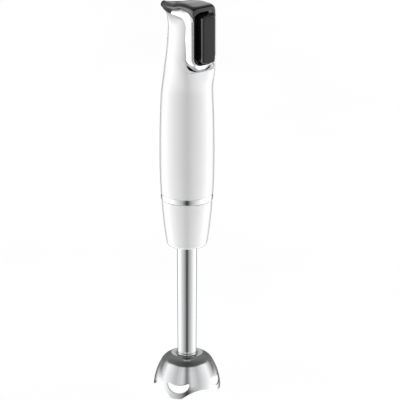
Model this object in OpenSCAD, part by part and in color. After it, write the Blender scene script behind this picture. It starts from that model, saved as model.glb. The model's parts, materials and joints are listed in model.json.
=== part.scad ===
// Immersion blender: motor handle, detachable steel foot, four-lobed bell guard.
// +Z runs up the drive axis, the front (trigger side) faces -Y, and z = 0 is the
// plane that the bell's long lobes stand on.

/* [Bell] */
// Height of the bell guard
bell_height = 38.6; // [36:0.2:39]
// Radius of the bell at its rim
bell_radius = 33.6; // [33:0.1:34.5]
// Thickness of the pressed steel
bell_wall = 1.2; // [1:0.1:1.5]
// Turn of a long lobe from the front
lobe_turn = 128.5; // [125:0.5:130]
// Turn of a short lobe from the front
short_turn = 31; // [30:0.5:36]
// Height of the two short lobes above the long ones
lobe_step = 3.3; // [2.5:0.1:3.5]

/* [Shaft tube] */
// Outer radius at the top
tube_radius = 10; // [9.8:0.05:10]
// Outer radius just above the trumpet end
tube_low_radius = 9.4; // [9.2:0.05:9.6]
// Inner radius
tube_bore = 8.5; // [8.3:0.05:8.6]

/* [Foot shell] */
// Height of the cone's lower edge
cone_low = 153.5; // [152:0.5:155]
// Height of the cone's upper edge
cone_high = 202; // [201:0.5:202]
// Radius at the cone's upper edge
cone_radius = 25.4; // [25:0.1:25.6]

/* [Handle] */
// Outer radius of the bright ring
ring_radius = 26.2; // [26:0.1:26.6]
// Wall of the housing
shell_wall = 2.2; // [1.8:0.1:2.4]
// Distance of the cord bush's end behind the axis
reach = 41; // [40.5:0.5:42]

/* [Head] */
// Half width of the bezel at its outer line
bezel_half = 16.5; // [16:0.1:17]
// Half width of the bezel near its front edge
bezel_swell = 15.9; // [15:0.1:16.4]
// Half width of the black parts
black_half = 13.9; // [13.5:0.1:14]
// Half width of the trigger
trigger_half = 7.8; // [7.4:0.1:8]
// Distance of the trigger's face in front of the axis
trigger_face = 38.5; // [37:0.5:39]

/* [Drive] */
// Radius of the drive shaft
shaft_radius = 3; // [2.5:0.1:3]
// Radius that the blade's tips reach
blade_radius = 23.5; // [20:0.5:24]
// Number of blade wings
wings = 4; // [2:1:4]

/* [Hidden] */

$fn = 64;
fit = 0.02;             // gap of a seated fit
run = 0.05;             // radial gap of a running fit
loose = 0.3;            // gap between moving covers
shell_low = 208;        // lower edge of the housing
panel_face = 30.5;      // front panel's face, forward of the axis
panel_wall = 2.5;
trigger_low = 352.6;
trigger_high = 401.8;
pin_forward = 22;       // trigger's pivot
pin_high = 396;
pin_radius = 1.5;
bush_high = 395;        // height of the cord's inlet
bush_radius = 3.7;
cord_radius = 2.6;
core_low = 246;         // stack of laminations
core_high = 276;
core_bore = 11.2;
rotor_radius = 10.7;
dog_high = 214.3;       // roof of the drive dog's socket

// ---- Helpers ----

// Points on an arc, from angle a0 to a1
function arc(cx, cy, r, a0, a1, steps = 12) =
    [for (i = [0:steps]) let (a = a0 + (a1 - a0) * i / steps) [cx + r * cos(a), cy + r * sin(a)]];

// Closed skin over rings that have equal numbers of points and rise along the stack
module skin(rings) {
    n = len(rings[0]);
    m = len(rings);
    bottom = [for (i = [0:n - 1]) i];
    top = [for (i = [n - 1:-1:0]) (m - 1) * n + i];
    sides = [for (k = [0:m - 2]) for (i = [0:n - 1])
        let (j = (i + 1) % n)
        each [[k * n + i, (k + 1) * n + i, k * n + j], [k * n + j, (k + 1) * n + i, (k + 1) * n + j]]];
    polyhedron([for (r = rings) each r], concat([bottom], sides, [top]));
}

// Round wire along a helix about +Z, starting at z = 0
module coil(radius, wire, turns, height, facets = 6, steps = 16) {
    count = turns * steps;
    climb = atan(height / (turns * 2 * PI * radius));
    skin([for (k = [0:count])
        let (a = 360 * k / steps)
        [for (i = [0:facets - 1])
            let (b = -360 * i / facets, out = wire * cos(b), up = wire * sin(b))
            [(radius + out) * cos(a) + up * sin(climb) * sin(a),
             (radius + out) * sin(a) - up * sin(climb) * cos(a),
             height * k / count + up * cos(climb)]]]);
}

// Ring between two radii
module ring(outer, inner, low, high)
    translate([0, 0, low]) difference() {
        cylinder(r = outer, h = high - low);
        translate([0, 0, -1]) cylinder(r = inner, h = high - low + 2);
    }

// Outline of x and z, extruded forward from one distance to another
module forward(near, far)
    rotate([90, 0, 0]) translate([0, 0, near]) linear_extrude(far - near) children();

// Outline of forward distance and z, extruded to both sides
module sideways(half)
    rotate([90, 0, -90]) linear_extrude(2 * half, center = true) children();

// Screw standing head up, its seat at z = 0
module screw(radius, length, head_radius, head_high) {
    difference() {
        cylinder(r = head_radius, h = head_high);
        translate([-head_radius, -0.4, head_high - 0.8]) cube([2 * head_radius, 0.8, 1]);
    }
    translate([0, 0, -length]) cylinder(r = radius, h = length);
}

// ---- Housing ----

// Each line gives a measure of the housing's section against its height
half_line = [[208, 26.2], [225, 27], [242, 27.3], [263, 27.3], [292, 26.8], [309, 26.2], [320, 25.5],
    [334, 24.6], [345, 23.9], [355, 23], [364, 22.2], [373, 21.6], [382, 21.1], [388, 20.6],
    [392, 19.7], [395, 18.3], [397.5, 16]];
rear_line = [[208, 26.2], [225, 27], [242, 27.3], [263, 27.3], [292, 26.8], [309, 26.2], [320, 25.2],
    [334, 22.9], [345, 20.9], [355, 18.9], [364, 18.1], [373, 17.4], [382, 17], [388, 18.6],
    [392, 21.6], [395, 25.6], [397.5, 28]];
front_line = [[208, 26.2], [225, 27], [242, 27.3], [263, 27.3], [292, 26.8], [309, 26.2], [320, 26],
    [334, 27], [345, 26.4], [355, 24.6], [373, 24.6], [388, 24.6], [397.5, 24.6]];
// Exponent of the front half's outline: 2 is an ellipse, and more is squarer
square_line = [[208, 2], [318, 2], [350, 3], [398, 3]];

function middle(z) = lookup(z, [[310, 0], [345, 3], [382, 3.5], [398, 1]]);

// Section of the housing at a height, drawn in by a wall
function section(z, wall = 0, count = 48) =
    let (
        mid = middle(z),
        half = lookup(z, half_line) - wall,
        rear = lookup(z, rear_line) + mid - wall,
        front = lookup(z, front_line) - mid - wall,
        power = lookup(z, square_line)
    )
    [for (i = [0:count - 1])
        let (a = 360 * i / count, c = cos(a), s = sin(a), e = s < 0 ? 2 / power : 1)
        [half * sign(c) * pow(abs(c), e),
         -mid + (s < 0 ? -front * pow(-s, e) : rear * s),
         z]];

shell_stops = concat([208, 216, 225, 233, 242, 252, 263, 278, 292, 301, 309, 315],
    [for (z = [320:4.5:388]) z], [390, 392, 393.5, 395, 396.3, 397.5]);

// ---- Head: line between housing and bezel, and line between bezel and black parts ----

seat_line = concat([[-60, 386], [-39.5, 390.4], [-24, 394], [-3.5, 397]],
    arc(13, 388.6, 8.8, 90, 0, 8), [[20.5, 371], [20, 356], [21, 348], [24.5, 341.2]]);

// Front outline with four round corners
module pill(half, low, high, corner) {
    translate([-half, low + corner]) square([2 * half, high - low - 2 * corner]);
    translate([corner - half, low]) square([2 * (half - corner), high - low]);
    for (side = [-1, 1]) for (z = [low + corner, high - corner])
        translate([side * (half - corner), z]) circle(corner);
}

// Front outline with round lower corners
module front_outline(half, low, high, corner) {
    translate([-half, low + corner]) square([2 * half, high - low - corner]);
    translate([corner - half, low]) square([2 * (half - corner), high - low]);
    for (side = [-1, 1]) translate([side * (half - corner), low + corner]) circle(corner);
}

// The block that carries the black parts: its sides lean in from the seat to the black edge
module head_block(inset = 0) {
    hull() {
        forward(19 - inset, 20) front_outline(bezel_half - inset, 341 + inset, 398, 13);
        forward(26.8 - inset, 27.6 - inset)
            front_outline(bezel_swell - inset, 343 + inset, 397, 12.6);
        forward(29.2 - inset, 29.4 - inset)
            front_outline(black_half - inset, 348.6 + inset, 396, 10);
    }
    hull() {
        sideways(bezel_half - inset) polygon([[-3.5, 396], [20, 396], [20, 397], [-3.5, 397]]);
        sideways(black_half - inset)
            polygon([[-3.5, 401.5 - inset], [10, 405.3 - inset], [18, 405 - inset],
                [25.6, 402.7 - inset], [29.4 - inset, 396], [-3.5, 397]]);
    }
}

module handle_shell() color("white") difference() {
    skin([for (z = shell_stops) section(z)]);
    skin([for (z = concat([shell_low - 1], [for (z = shell_stops) if (z > shell_low && z < 394) z]))
        section(z, shell_wall)]);
    sideways(bezel_half + 0.1)
        polygon(concat(seat_line, [[60, 341.2], [60, 450], [-60, 450]]));
    tail_space();
    head_room();
    // way for the cord's leads into the tail
    translate([-5, 9, 390]) cube([10, 9, 10]);
}

// Room for the trigger and the switch
module head_room() forward(-10, 45) front_outline(12.3, 351, 440, 8.5);

module chrome_bezel() color("silver") difference() {
    head_block();
    head_room();
    forward(29.2, 60) square([60, 1000], center = true);
    cap_body();
    sideways(bezel_half + 1) polygon(concat([[-60, 300], [-60, 386], [-3.5, 397]],
        [for (p = seat_line) if (p[0] > -3 && p[1] > 341.5) p + [0.02, 0.02]],
        [[24.6, 341.2], [24.6, 300]]));
}

// ---- Black cap ----

// Lines of the cap against the distance forward: half width, lower edge and crown
cap_half_line = [[-38, 3.6], [-34, 5.6], [-28, 8.2], [-20, 11], [-12, 12.9], [-3.5, 13.9], [24, 13.9],
    [29, 13.2], [30.5, 12.4]];
cap_low_line = [[-38, 391.6], [-30, 393.4], [-20, 395.9], [-3.5, 401.4], [10, 405.2], [18, 404.9],
    [25.6, 402.6], [30.5, 401.5]];
cap_high_line = [[-38, 398.8], [-30, 400.4], [-20, 402.6], [-12, 404.6], [-3.5, 407.6], [6, 409.3],
    [14, 410], [24, 410], [28, 409.6], [29.6, 408.8], [30.5, 407.4]];

// Arched section of the cap, drawn in by a wall
function cap_section(f, wall = 0, count = 24) =
    let (
        half = lookup(f, cap_half_line) - wall,
        low = lookup(f, cap_low_line) - (wall > 0 ? 1 : 0),
        high = lookup(f, cap_high_line) - wall,
        // exponents of the arch, which is squarer towards the front
        wide = lookup(f, [[-20, 0.8], [6, 0.7], [24, 0.5]]),
        tall = lookup(f, [[-20, 0.7], [6, 0.6], [24, 0.4]])
    )
    [for (i = [0:count]) let (a = 180 * i / count)
        [half * sign(cos(a)) * pow(abs(cos(a)), wide), -f, low + (high - low) * pow(sin(a), tall)]];

cap_stops = [-38, -34, -30, -25, -20, -16, -12, -8, -3.5, 2, 6, 10, 14, 18, 21, 23.5, 26, 27.5, 29, 30,
    30.5];

module cap_body(wall = 0, near = -38, far = 30.5)
    skin([for (f = cap_stops) if (f >= near && f <= far) cap_section(f, wall)]);

// Part of the tail below the cap's arch, behind the bezel
module tail_space() intersection() {
    tail_belly();
    sideways(30) polygon([[-38, 380], [-3.52, 380], [-3.52, 420], [-38, 420]]);
}

// Lower half of the tail, from the bezel's end to the cord bush
module tail_belly() hull() {
    forward(-3.6, -3.5) tail_outline(bezel_half - 0.2, black_half - 0.3, 395.6, 402.2);
    forward(-20.1, -20) tail_outline(12, 10.6, 392.6, 397);
    forward(-38.1, -38) tail_outline(3.6, 3.2, 391.3, 395);
}

module tail_outline(half, top_half, low, high) polygon([
    [2 - half, low], [half - 2, low], [half - 0.6, low + 0.6], [half, low + 2],
    [top_half, high], [-top_half, high], [-half, low + 2], [0.6 - half, low + 0.6]]);

module top_cap() color("#1a1a1a") difference() {
    union() {
        cap_body();
        tail_space();
    }
    cap_body(2, near = -20, far = 27.5);
    trigger_window();
    rotate([-90, 0, 0]) translate([0, -bush_high, 20]) cylinder(r = bush_radius - 0.7 + fit, h = 30);
}

cap_bottom = 401.5;

// Opening that the trigger stands out of
module trigger_window()
    forward(20, 60) pill(trigger_half + loose, trigger_low - 2, trigger_high + 0.7, 3.8);

module front_panel() color("#141414") difference() {
    union() {
        forward(panel_face - panel_wall + 1.3, panel_face)
            front_outline(black_half - 0.4, 349, cap_bottom - fit, 9.6);
        // ears that hold the trigger's pin
        for (side = [-1, 1])
            translate([side * 9.9 - 1.2, 0, 0])
                rotate([90, 0, 90]) linear_extrude(2.4)
                    polygon([[-29.5, 401], [-19.4, 401], [-19.4, 393], [-22, 391.8], [-29.5, 391.8]]);
    }
    trigger_window();
    rotate([0, 90, 0]) translate([-pin_high, -pin_forward, -20])
        cylinder(r = pin_radius + fit, h = 40);
}

// ---- Trigger ----

pad_depth = 0.8;

module pad_outline(inset)
    pill(trigger_half - 1.1 - inset, trigger_low + 1.6 + inset, trigger_high - 2.4 - inset, 2.6);

module trigger() color("#202020") difference() {
    union() {
        difference() {
            forward(25, trigger_face) pill(trigger_half, trigger_low, trigger_high, 3.5);
            forward(20, trigger_face - 2.2) pill(trigger_half - 1.6, trigger_low + 1.6, 391.5, 2.5);
        }
        rotate([0, 90, 0]) translate([-pin_high, -pin_forward, -8.3]) cylinder(r = 3.2, h = 16.6);
        translate([-6, -26, 393.6]) cube([12, 4, 4.8]);
        // rib that pushes the switch
        translate([-1.5, -37, 365]) cube([3, 14.6, 3]);
    }
    forward(trigger_face - pad_depth, trigger_face + 2) pad_outline(0);
    rotate([0, 90, 0]) translate([-pin_high, -pin_forward, -20])
        cylinder(r = pin_radius + run, h = 40);
    // gap for the torsion spring
    rotate([0, 90, 0]) translate([-pin_high, -pin_forward, -2.6]) cylinder(r = 3.9, h = 5.2);
}

module trigger_pad() color("#3c3c3c") {
    forward(trigger_face - pad_depth + fit, trigger_face + 0.2) pad_outline(fit);
    // raised dots down the middle
    for (k = [0:6])
        translate([0, -trigger_face - 0.2, 364.4 + 3.6 * k])
            rotate([90, 0, 0]) cylinder(r = 0.45, h = 0.15);
}

module trigger_pin() color("silver")
    rotate([0, 90, 0]) translate([-pin_high, -pin_forward, -11]) cylinder(r = pin_radius, h = 22);

module trigger_spring() color("silver")
    translate([-1.8, -pin_forward, pin_high]) rotate([0, 90, 0]) coil(2.7, 0.35, 3, 3.6);

// ---- Controls ----

board_back = 8.6;

module control_board() color("#1f6b3a") difference() {
    translate([-14, board_back - 1.6, 322]) cube([28, 1.6, 50]);
    for (side = [-1, 1])
        translate([side * 5.8, 5, 357.5]) rotate([-90, 0, 0]) cylinder(r = 1.2 + fit, h = 10);
}

module board_parts() color("#b08a3c") {
    translate([-12, 0.4, 324]) cube([13, 6.58, 16]);
    translate([7, 2.8, 332]) cylinder(r = 4.1, h = 12);
    translate([7.4, 4.4, 349]) cube([5, 2.58, 14]);
    translate([-9.4, 3, 343]) cylinder(r = 3.9, h = 12);
}

module speed_switch() color("#2b2b2b") difference() {
    translate([-8, -19, 360]) cube([16, 18, 14]);
    translate([-2.6, -30, 364]) cube([5.2, 24, 5]);
}

module switch_plunger() color("white")
    translate([-2.5, -22.2, 364.1]) cube([5, 9, 4.8]);

// ---- Cord inlet ----

module cord_bush() color("#222222")
    rotate([-90, 0, 0]) translate([0, -bush_high, 0]) rotate_extrude()
        polygon(concat(
            [[cord_radius, 25], [bush_radius - 0.7, 25], [bush_radius - 0.7, 38 + fit],
             [bush_radius, 38 + fit]],
            arc(bush_radius - 1, reach - 1, 1, 0, 90, 6), [[cord_radius, reach]]));

// Saddle on the board's back that grips the cord
module cord_clamp() color("#d8d8d8") difference() {
    translate([-8.5, board_back + fit, 354]) cube([17, 3.4, 7]);
    translate([0, board_back, 350]) cylinder(r = cord_radius, h = 20);
    for (side = [-1, 1])
        translate([side * 5.8, board_back, 357.5]) rotate([-90, 0, 0]) cylinder(r = 1.2 + fit, h = 10);
}

module clamp_screws() color("silver") for (side = [-1, 1])
    translate([side * 5.8, board_back + 3.4 + 2 * fit, 357.5])
        rotate([-90, 0, 0]) screw(1.2, 4.8, 2.2, 1.5);

// ---- Motor ----

screw_ring = 19.8;      // distance of the motor's long screws from the axis
brush_high = 290;

module decor_ring() color("silver") ring(ring_radius, 24, 202.5, shell_low - 0.05);

module coupling_socket() color("white") difference() {
    union() {
        ring(23.9, 18.4, 203, 214);
        ring(23.9, 10, 214, 216.5);
    }
    for (k = [0:2]) rotate(120 * k) translate([0, 18, 208]) cube([6.6, 4, 20], center = true);
    for (k = [0:2]) rotate(120 * k + 60) translate([0, 21.3, 200]) {
        cylinder(r = 1.2 + fit, h = 20);
        cylinder(r = 2.2, h = 5);
    }
}

module socket_screws() color("silver")
    for (k = [0:2]) rotate(120 * k + 60) translate([0, 21.3, 205])
        mirror([0, 0, 1]) screw(1.2, 17, 2.1, 1.6);

module motor_damper() color("#303030") difference() {
    ring(23.6, 12, 216.5, 219);
    for (k = [0:2]) rotate(120 * k + 60) translate([0, 21.3, 210]) cylinder(r = 1.2 + fit, h = 20);
}

module lower_bracket() color("#9aa0a6") difference() {
    union() {
        ring(23.6, 7.2, 219, 222);
        ring(12.5, 9.5 + fit, 222, 228);
        ring(23.6, 21.6, 222, 244);
        for (side = [-1, 1]) translate([side * 20.6 - 2.4, -3, 222]) cube([4.8, 6, 22]);
    }
    for (side = [-1, 1]) translate([side * screw_ring, 0, 215]) cylinder(r = 1.5 + fit, h = 40);
    for (k = [0:2]) rotate(120 * k + 60) translate([0, 21.3, 210]) cylinder(r = 1.2 + fit, h = 12.1);
    for (k = [0:7]) rotate(45 * k + 22.5) translate([15, 0, 215]) cylinder(r = 2, h = 10);
}

module lower_bearing() color("silver") ring(9.5, shaft_radius + fit, 222 + fit, 228);

module cooling_fan() color("#e8e8e8") {
    ring(5, shaft_radius + fit, 230, 237);
    ring(17.6, 5, 230, 231.2);
    for (k = [0:10]) rotate(360 / 11 * k)
        translate([4.8, -0.6, 231]) cube([12.5, 1.2, 6]);
}

module stator_core() color("#8f9498") translate([0, 0, core_low]) linear_extrude(core_high - core_low)
    difference() {
        union() {
            difference() {
                circle(23.4);
                circle(17.2);
            }
            for (turn = [0, 180]) rotate(turn) {
                intersection() {
                    difference() {
                        circle(14.4);
                        circle(core_bore);
                    }
                    polygon([[0, 0], [24, 18], [0, 40], [-24, 18]]);
                }
                translate([-5.6, 13]) square([11.2, 5]);
            }
        }
        for (side = [-1, 1]) translate([side * screw_ring, 0]) circle(1.5 + 2 * fit);
    }

module field_coils() color("#b5651d") for (turn = [0, 180]) rotate(turn) difference() {
    intersection() {
        ring(17.1, 14.6, core_low - 4, core_high + 4);
        translate([0, 0, core_low - 5]) linear_extrude(core_high - core_low + 10)
            polygon([[0, 0], [30, 20], [0, 40], [-30, 20]]);
    }
    translate([-5.8, 10, core_low - 0.2]) cube([11.6, 10, core_high - core_low + 0.4]);
}

module upper_bracket() color("#9aa0a6") difference() {
    union() {
        ring(23.2, 3.6, 303.5, 306);
        ring(12, 8 + fit, 297.2, 303.5);
        ring(23.2, 21, core_high + fit, 303.5);
        for (side = [-1, 1]) translate([side * 20.3 - 2.4, -3, core_high + fit]) cube([4.8, 6, 27.5]);
        for (turn = [0, 180]) rotate(turn) translate([-4, 8, 293.6]) cube([8, 14, 10]);
    }
    for (side = [-1, 1]) translate([side * screw_ring, 0, 260]) cylinder(r = 1.5 + fit, h = 60);
    translate([0, 0, 297.2]) cylinder(r = 8 + fit, h = 6.3);
    for (turn = [0, 180]) rotate(turn) translate([-3.4, 6, brush_high - 3.7]) cube([6.8, 30, 7.4]);
    for (k = [0:7]) rotate(45 * k + 22.5) translate([16, 0, 300]) cylinder(r = 2.4, h = 10);
}

module upper_bearing() color("silver") ring(8, shaft_radius + fit, 297.5, 303.4);

module brush_holders() color("#c9a227") for (turn = [0, 180]) rotate(turn) difference() {
    translate([-3.3, 8.4, brush_high - 3.6]) cube([6.6, 14, 7.2]);
    translate([-2.5, 7, brush_high - 2.8]) cube([5, 14.6, 5.6]);
}

module carbon_brushes() color("#3a3a3a") for (turn = [0, 180]) rotate(turn) difference() {
    translate([-2.45, 5, brush_high - 2.75]) cube([4.9, 10, 5.5]);
    cylinder(r = 6.6, h = 400);
}

module brush_springs() color("silver") for (turn = [0, 180]) rotate(turn)
    translate([0, 15.4, brush_high]) rotate([-90, 0, 0]) coil(1.9, 0.3, 4, 5.8, 5, 12);

module motor_screws() color("silver")
    for (side = [-1, 1]) translate([side * screw_ring, 0, 306]) screw(1.5, 80, 2.8, 2);

// ---- Rotor ----

module motor_shaft() color("silver")
    translate([0, 0, dog_high + 0.3]) cylinder(r = shaft_radius, h = 306.5 - dog_high);

module rotor_core() color("#8f9498") translate([0, 0, core_low]) linear_extrude(core_high - core_low)
    difference() {
        circle(rotor_radius);
        circle(shaft_radius + fit);
        for (k = [0:11]) rotate(30 * k) {
            translate([rotor_radius - 0.9, -0.5]) square([2, 1]);
            translate([8, 0]) circle(1.5);
        }
    }

module rotor_windings() color("#b5651d") {
    for (k = [0:11]) rotate(30 * k) translate([8, 0, core_low - 2])
        cylinder(r = 1.4, h = core_high - core_low + 4);
    for (low = [core_low - 6, core_high + fit]) translate([0, 0, low]) rotate_extrude()
        polygon(concat([[3.6, 0]], arc(7.6, 2, 2, -90, 0, 6), arc(7.6, 4, 2, 0, 90, 6), [[3.6, 6 - fit]]));
}

module commutator() color("#c77b45") difference() {
    ring(6.4, shaft_radius + fit, 283, 296);
    for (k = [0:23]) rotate(15 * k) translate([6, -0.15, 282]) cube([2, 0.3, 12.5]);
}

module drive_dog() color("#2f2f2f") difference() {
    union() {
        translate([0, 0, 205.5]) cylinder(r = 9, h = 10);
        translate([0, 0, 215]) cylinder(r = 6.5, h = 6);
    }
    translate([0, 0, 200]) cylinder(r = 6.6, h = dog_high - 200, $fn = 6);
    translate([0, 0, dog_high]) cylinder(r = shaft_radius + fit, h = 20);
}

// ---- Foot ----

module foot_shell() color("white") rotate_extrude() polygon(concat(
    [[10.4, cone_low + 2.4], [10.4, cone_low]],
    arc(17, cone_low + 3.4, 3.4, -90, -10, 6),
    [[21.8, 166], [22.9, 174], [23.9, 183], [24.8, 192], [cone_radius, cone_high]],
    [[cone_radius - 2, cone_high], [22.8, 192], [21.9, 183], [20.9, 174], [19.7, 166],
     [18.2, cone_low + 4.6], [16.8, cone_low + 2.4]]));

module foot_hub() color("#e4e4e4") union() {
    rotate_extrude() polygon([[tube_radius + fit, 156], [12.4, 156], [12.4, 196], [22.9, 196],
        [22.9, 199.5], [18, 199.5], [18, 212], [17, 213], [15.4, 213], [15.4, 199], [8, 199],
        [8, 196], [tube_radius + fit, 194]]);
    for (k = [0:2]) rotate(120 * k) translate([0, 18.2, 206]) cube([5.6, 2.6, 5], center = true);
    for (k = [0:5]) rotate(60 * k) translate([12.2, -0.8, 166]) cube([6.8, 1.6, 30.5]);
}

module shaft_tube() color("#c8cbce") rotate_extrude() polygon(concat(
    [[tube_bore, bell_height], [tube_low_radius + 1.3, bell_height]],
    arc(tube_low_radius + 3.4, bell_height + 3.4, 3.4, -128, -180, 8),
    [[tube_radius, cone_low], [tube_radius, 194], [tube_bore, 194]]));

skirt_radius = 57.9;    // curve of the skirt in a section through the axis
skirt_high = 2;
dome_mid = [12.2, 24];  // centre of the dome's curve in that section
dome_radius = 15.4;
crease_angle = 20.5;

// Points of the bell's outline from the rim up, drawn in by a wall
function bell_line(wall) = concat(
    [[bell_radius - wall, -1]],
    arc(bell_radius - skirt_radius, skirt_high, skirt_radius - wall, 0, 28.2, 12),
    arc(dome_mid[0], dome_mid[1], dome_radius - wall, crease_angle, 90, 12));

module bell() color("#b9bdc1") difference() {
    rotate_extrude($fn = 96) difference() {
        polygon(concat(bell_line(0), [[0, dome_mid[1] + dome_radius], [0, -1]]));
        intersection() {
            polygon(concat(bell_line(bell_wall), [[0, dome_mid[1] + dome_radius - bell_wall], [0, -1]]));
            translate([0, -2]) square([60, bell_height - bell_wall + 2]);
        }
        translate([0, bell_height]) square([60, 10]);
        translate([0, -5]) square([60, 5]);
        square([tube_bore, 60]);
    }
    // arches between the lobes, in two heights
    for (side = [0, 180]) {
        arch(78 + side, 12.3, 22.5);
        arch(172.5 + side, 8.8, 27.5);
    }
    // two facing lobes are shorter, and each lobe has a curved slot
    for (side = [0, 180]) {
        rotate(lobe_turn + side) forward(15, 50) smile();
        rotate(short_turn + side) {
            translate([0, 0, lobe_step]) forward(15, 50) smile();
            translate([-17, -50, -1]) cube([34, 35, lobe_step + 1]);
        }
    }
}

module arch(turn, high, round)
    rotate(turn) forward(-15, 45) translate([0, high - round]) circle(round, $fn = 96);

module smile() intersection() {
    difference() {
        translate([0, 19.5]) circle(13.5);
        translate([0, 40]) circle(26, $fn = 96);
    }
    translate([-11.8, 0]) square([23.6, 30]);
}

module upper_bush() color("#b08d57") ring(tube_bore - fit, shaft_radius + run, 178, 190);
module middle_bush() color("#d9d4c5") ring(tube_bore - fit, shaft_radius + run, 108, 118);
module lower_bush() color("#b08d57") ring(tube_bore - fit, shaft_radius + run, 44, 56);

module shaft_seal() color("#2a2a2a")
    ring(tube_bore - fit, shaft_radius + run, bell_height - bell_wall, bell_height + 4);

// ---- Drive ----

module drive_shaft() color("silver")
    translate([0, 0, 10]) cylinder(r = shaft_radius, h = 202.5);

module foot_dog() color("#2f2f2f") difference() {
    union() {
        translate([0, 0, 200.5]) cylinder(r = 5, h = 4);
        translate([0, 0, 203]) cylinder(r = 6.2, h = 10, $fn = 6);
    }
    translate([0, 0, 190]) cylinder(r = shaft_radius + fit, h = 22.6);
}

module thrust_washer() color("#d9d4c5") ring(6.5, shaft_radius + fit, 190.3, 191.2);

module retaining_ring() color("#5a5a5a") difference() {
    ring(5, shaft_radius + fit, 191.2 + fit, 192);
    translate([-1.5, 0, 190]) cube([3, 10, 4]);
}

module blade_hub() color("silver") ring(5.2, shaft_radius + fit, 17.2, 26);

module blade_nut() color("silver") difference() {
    translate([0, 0, 8.4]) rotate_extrude()
        polygon(concat([[0, 0]], arc(3.4, 1.4, 1.4, -90, 0, 6), [[4.8, 4.6 - fit], [0, 4.6 - fit]]));
    translate([0, 0, 10 - fit]) cylinder(r = shaft_radius + fit, h = 10);
}

module blade() color("#c8cbce") union() {
    ring(7, shaft_radius + fit, 13, 17.2 - fit);
    for (k = [0:wings - 1]) rotate(360 / wings * k) {
        tilt = k % 2 == 0 ? 16 : -16;
        translate([0, 0, 15]) rotate([tilt, 0, 0]) translate([0, 0, -0.7]) linear_extrude(1.4)
            polygon([[4, -4.4], [13, -4.8], [blade_radius - 1.5, -2.6], [blade_radius - 0.4, 1],
                [blade_radius - 2.4, 4.2], [12, 3.6], [4, 3.4]]);
    }
}

handle_shell();
chrome_bezel();
top_cap();
front_panel();
cord_bush();
decor_ring();
coupling_socket();
socket_screws();
motor_damper();
lower_bracket();
lower_bearing();
stator_core();
field_coils();
upper_bracket();
upper_bearing();
brush_holders();
carbon_brushes();
brush_springs();
motor_screws();
control_board();
board_parts();
speed_switch();
trigger_pin();
trigger_spring();
cord_clamp();
clamp_screws();
trigger();
trigger_pad();
switch_plunger();
motor_shaft();
rotor_core();
rotor_windings();
commutator();
cooling_fan();
drive_dog();
foot_shell();
foot_hub();
shaft_tube();
bell();
upper_bush();
middle_bush();
lower_bush();
shaft_seal();
drive_shaft();
foot_dog();
thrust_washer();
retaining_ring();
blade_hub();
blade();
blade_nut();
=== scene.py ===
import bisect
import json
import math

import bmesh
import bpy
from mathutils import Matrix, Vector


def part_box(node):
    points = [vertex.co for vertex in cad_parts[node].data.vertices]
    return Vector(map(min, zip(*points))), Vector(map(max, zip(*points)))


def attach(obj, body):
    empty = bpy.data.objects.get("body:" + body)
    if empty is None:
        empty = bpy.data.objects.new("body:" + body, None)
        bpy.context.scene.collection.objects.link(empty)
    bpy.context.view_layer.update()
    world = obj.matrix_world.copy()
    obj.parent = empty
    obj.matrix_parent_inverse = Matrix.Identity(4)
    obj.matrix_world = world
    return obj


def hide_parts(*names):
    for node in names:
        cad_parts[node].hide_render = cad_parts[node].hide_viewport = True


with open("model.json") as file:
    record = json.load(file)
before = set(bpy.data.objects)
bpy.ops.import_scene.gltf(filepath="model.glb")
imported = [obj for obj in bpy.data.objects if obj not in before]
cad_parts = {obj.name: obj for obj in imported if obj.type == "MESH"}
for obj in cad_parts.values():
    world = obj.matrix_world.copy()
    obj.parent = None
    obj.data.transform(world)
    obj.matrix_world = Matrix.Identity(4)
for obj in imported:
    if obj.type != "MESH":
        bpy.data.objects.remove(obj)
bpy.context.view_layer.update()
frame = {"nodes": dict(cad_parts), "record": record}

# Lengths below are in millimetres. "Forward" is towards the trigger, which is -Y.
MM = 0.001
VIEW_TURN = -35          # azimuth of the camera, degrees
VIEW_LIFT = 18.3         # elevation of the camera, degrees


# ---------------------------------------------------------------- geometry helpers

def smooth_line(pairs):
    """A smooth function through (x, value) pairs, with no overshoot between them."""
    xs = [p[0] for p in pairs]
    ys = [p[1] for p in pairs]
    steps = [(ys[i + 1] - ys[i]) / (xs[i + 1] - xs[i]) for i in range(len(xs) - 1)]
    inner = [0 if a * b <= 0 else 2 * a * b / (a + b) for a, b in zip(steps, steps[1:])]
    tangents = [steps[0]] + inner + [steps[-1]]

    def value(x):
        x = min(max(x, xs[0]), xs[-1])
        i = min(max(bisect.bisect_right(xs, x) - 1, 0), len(xs) - 2)
        h = xs[i + 1] - xs[i]
        t = (x - xs[i]) / h
        return (ys[i] * (1 + 2 * t) * (1 - t) ** 2 + tangents[i] * h * t * (1 - t) ** 2
                + ys[i + 1] * t * t * (3 - 2 * t) + tangents[i + 1] * h * t * t * (t - 1))
    return value


def spread(low, high, count):
    """Evenly spaced values, both ends included."""
    return [low + (high - low) * i / (count - 1) for i in range(count)]


def arc(cx, cy, radius, start, end, count=12):
    """Points on an arc between two angles in degrees."""
    return [(cx + radius * math.cos(math.radians(a)), cy + radius * math.sin(math.radians(a)))
            for a in spread(start, end, count)]


def make_mesh(name, points, faces):
    """An object from points in millimetres, with its normals outward."""
    mesh = bpy.data.meshes.new(name)
    mesh.from_pydata([Vector(p) * MM for p in points], [], faces)
    obj = bpy.data.objects.new(name, mesh)
    bpy.context.scene.collection.objects.link(obj)
    tidy_mesh(obj)
    return obj


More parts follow.
